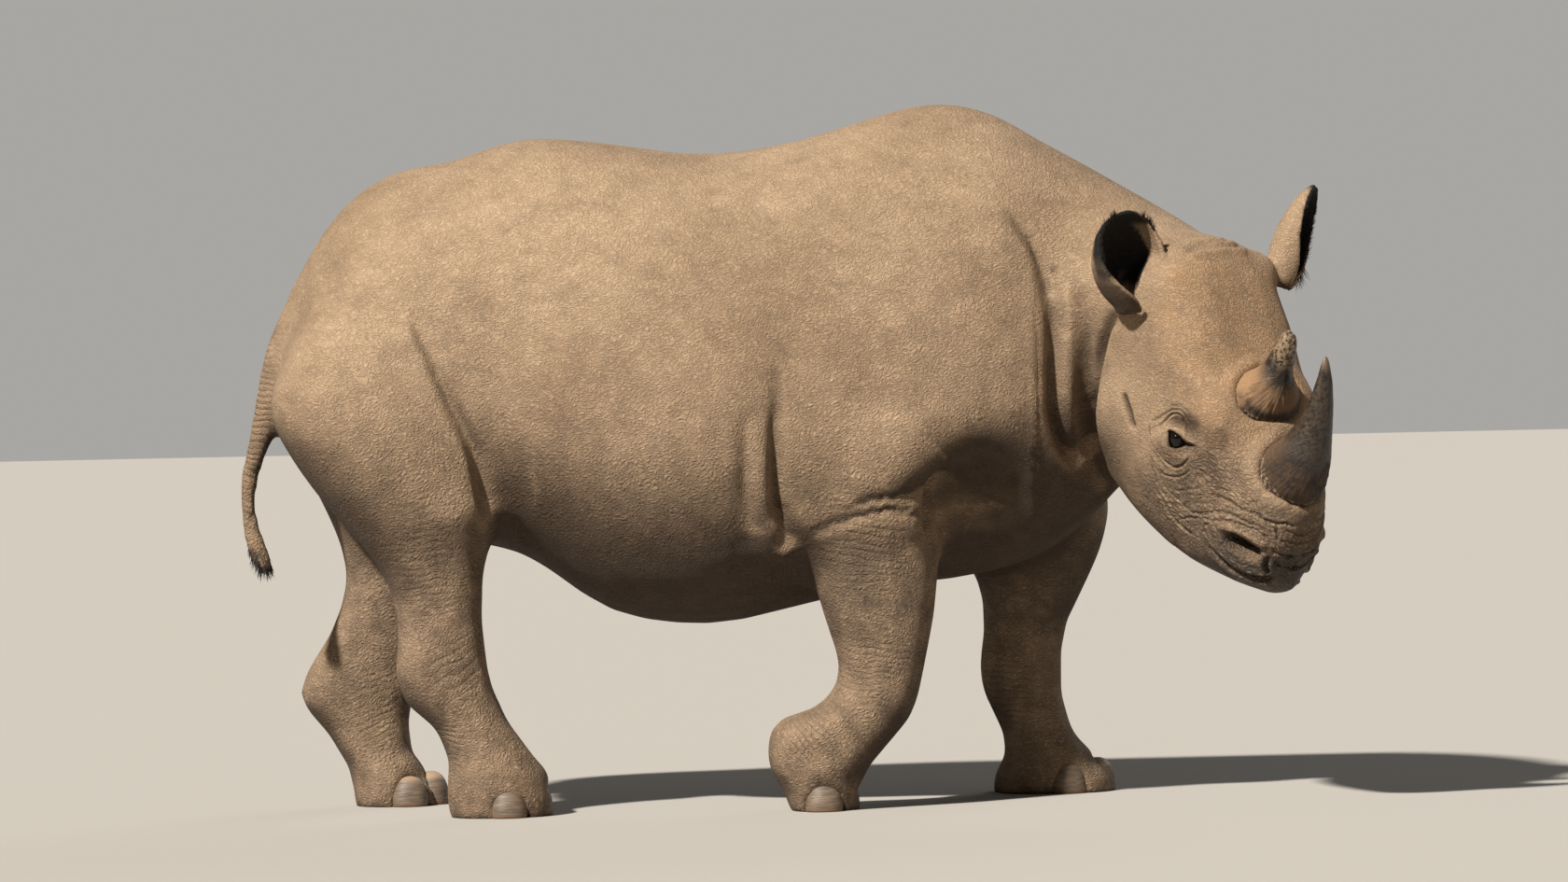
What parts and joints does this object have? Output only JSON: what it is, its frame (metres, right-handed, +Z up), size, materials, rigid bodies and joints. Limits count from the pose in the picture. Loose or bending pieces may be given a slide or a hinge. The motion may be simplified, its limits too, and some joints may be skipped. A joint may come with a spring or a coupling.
{
  "type": "animal model",
  "caption": "Life-size still model of a black rhinoceros caught in mid-stride, head turned to its right, horns on its nose, rolled ears and a hanging tail; it stands on its own feet.",
  "frame": {"origin": "on the floor, under the middle of the whole body's box", "axes": "+X toward the animal's front, +Y toward its left side, +Z up; the floor is z = 0"},
  "size_m": [2.3988, 1.115, 1.5479],
  "materials": {
    "hide": "dry, dusty, finely wrinkled skin",
    "horn": "keratin, rough and fibrous at the base, worn smooth at the tip",
    "nail": "dull grey keratin",
    "eye": "wet and glossy"
  },
  "bodies": {
    "root": {"ear_left": "hide", "ear_right": "hide", "eye_left": "eye", "eye_right": "eye", "fore_foot_left": "hide", "fore_foot_right": "hide", "fore_nail_left_left": "nail", "fore_nail_left_middle": "nail", "fore_nail_left_right": "nail", "fore_nail_right_left": "nail", "fore_nail_right_middle": "nail", "fore_nail_right_right": "nail", "fore_shank_left": "hide", "fore_shank_right": "hide", "foreleg_left": "hide", "foreleg_right": "hide", "front_horn": "horn", "head": "hide", "hind_foot_left": "hide", "hind_foot_right": "hide", "hind_leg_left": "hide", "hind_leg_right": "hide", "hind_nail_left_left": "nail", "hind_nail_left_middle": "nail", "hind_nail_left_right": "nail", "hind_nail_right_left": "nail", "hind_nail_right_middle": "nail", "hind_nail_right_right": "nail", "hind_shank_left": "hide", "hind_shank_right": "hide", "neck": "hide", "rear_horn": "horn", "tail": "hide", "tail_tip": "hide", "trunk": "hide"}
  },
  "joints": []
}
